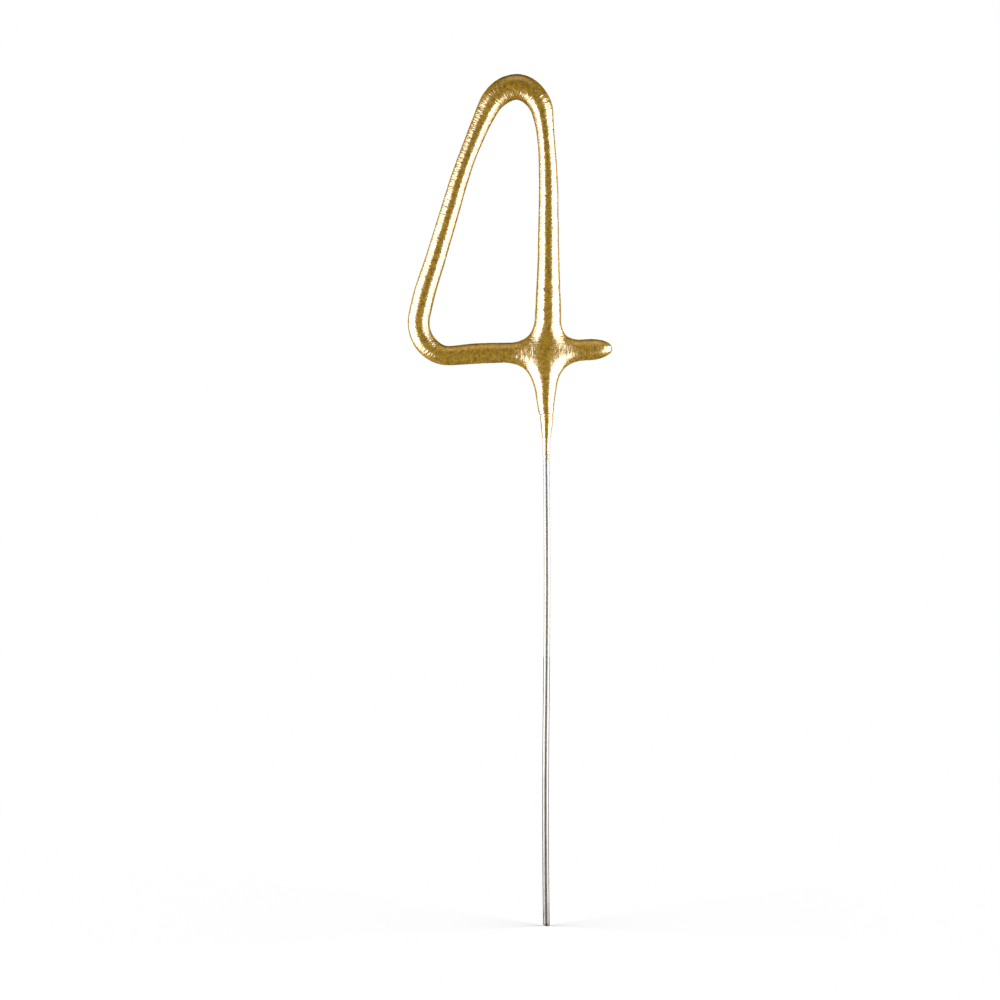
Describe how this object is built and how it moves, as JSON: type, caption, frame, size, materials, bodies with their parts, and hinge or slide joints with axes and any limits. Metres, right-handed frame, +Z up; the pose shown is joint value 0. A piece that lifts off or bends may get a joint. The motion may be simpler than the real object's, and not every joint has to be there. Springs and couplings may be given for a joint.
{
  "type": "number sparkler",
  "caption": "Hand-held party sparkler bent from steel wire into the figure 4, dipped in sparkler mix and a gold coat, with a bare straight stem to hold or push into a cake",
  "frame": {"origin": "on the stem's axis, level with the lowest point of its sheared lower end", "axes": "+Z up along the stem, +X to the reader's right across the figure, +Y away from the reader"},
  "size_m": [0.0427, 0.0062, 0.1779],
  "materials": {
    "steel_wire": "satin",
    "sparkler_mix": "matte",
    "gold_coat": "satin"
  },
  "bodies": {
    "root": {"core_wire": "steel_wire", "sparkler_mix": "sparkler_mix", "gold_coat": "gold_coat"}
  },
  "joints": []
}
